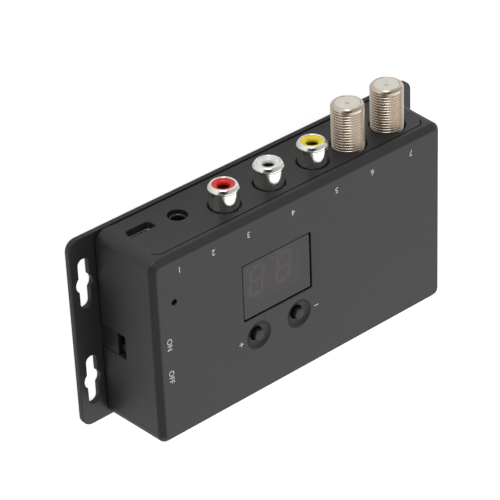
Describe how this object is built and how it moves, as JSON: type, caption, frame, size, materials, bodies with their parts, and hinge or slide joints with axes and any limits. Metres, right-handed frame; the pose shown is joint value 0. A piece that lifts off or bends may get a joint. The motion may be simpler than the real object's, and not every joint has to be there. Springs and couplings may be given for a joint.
{
  "type": "rf modulator",
  "caption": "Flat wall box with slotted ears, a row of power, sensor, sound, picture and aerial sockets, a channel display, push keys and a small slide switch.",
  "frame": {"origin": "on the mounting plate's flat back, at the middle of the housing", "axes": "+Z out of the top face away from the wall, +X towards the end with the slide switch, -Y towards the sockets"},
  "size_m": [0.1212, 0.0697, 0.024],
  "materials": {
    "plate_plastic": "fine matt",
    "cover_plastic": "fine matt",
    "smoked_pane": "clear smoked",
    "black_plastic": "matt",
    "segment_red": "unlit",
    "board_green": "solder mask",
    "key_plastic": "matt",
    "clear_plastic": "clear",
    "lamp_white": "clear",
    "tin": "tinned",
    "nickel": "nickel plated",
    "warm_nickel": "nickel plated",
    "insert_red": "moulded",
    "insert_white": "moulded",
    "insert_yellow": "moulded",
    "disc_cream": "moulded",
    "contact_gold": "plated",
    "capacitor_sleeve": "sleeved",
    "screw_steel": "zinc plated"
  },
  "bodies": {
    "housing": {"base_plate": "plate_plastic", "top_cover": "cover_plastic", "window_pane": "smoked_pane", "display_module": "black_plastic", "display_segments": "segment_red", "display_header": "black_plastic", "circuit_board": "board_green", "channel_down_switch": "black_plastic", "channel_up_switch": "black_plastic", "light_guide": "clear_plastic", "signal_led": "lamp_white", "slide_switch_body": "tin", "usb_shell": "tin", "usb_tongue": "black_plastic", "eye_jack": "black_plastic", "phono_block": "black_plastic", "phono_right_shell": "nickel", "phono_left_shell": "nickel", "phono_video_shell": "nickel", "phono_right_insert": "insert_red", "phono_left_insert": "insert_white", "phono_video_insert": "insert_yellow", "phono_right_contact": "nickel", "phono_left_contact": "nickel", "phono_video_contact": "nickel", "aerial_out_barrel": "warm_nickel", "aerial_in_barrel": "warm_nickel", "aerial_out_disc": "disc_cream", "aerial_in_disc": "disc_cream", "aerial_out_contact": "contact_gold", "aerial_in_contact": "contact_gold", "modulator_can": "tin", "modulator_lid": "tin", "controller_chip": "black_plastic", "crystal": "tin", "capacitors": "capacitor_sleeve", "board_screws": "screw_steel", "base_screws": "screw_steel"},
    "down_key": {"channel_down_key": "key_plastic"},
    "up_key": {"channel_up_key": "key_plastic"},
    "switch_knob": {"slide_switch_knob": "black_plastic"}
  },
  "joints": [
    {"name": "channel_down_press", "type": "slide", "parent": "housing", "child": "down_key", "axis": [0, 0, -1], "range_m": [0, 0.0004], "stiffness_N_per_m": 2500},
    {"name": "channel_up_press", "type": "slide", "parent": "housing", "child": "up_key", "axis": [0, 0, -1], "range_m": [0, 0.0004], "stiffness_N_per_m": 2500},
    {"name": "slide_switch_shift", "type": "slide", "parent": "housing", "child": "switch_knob", "axis": [0, -1, 0], "range_m": [0, 0.002]}
  ]
}
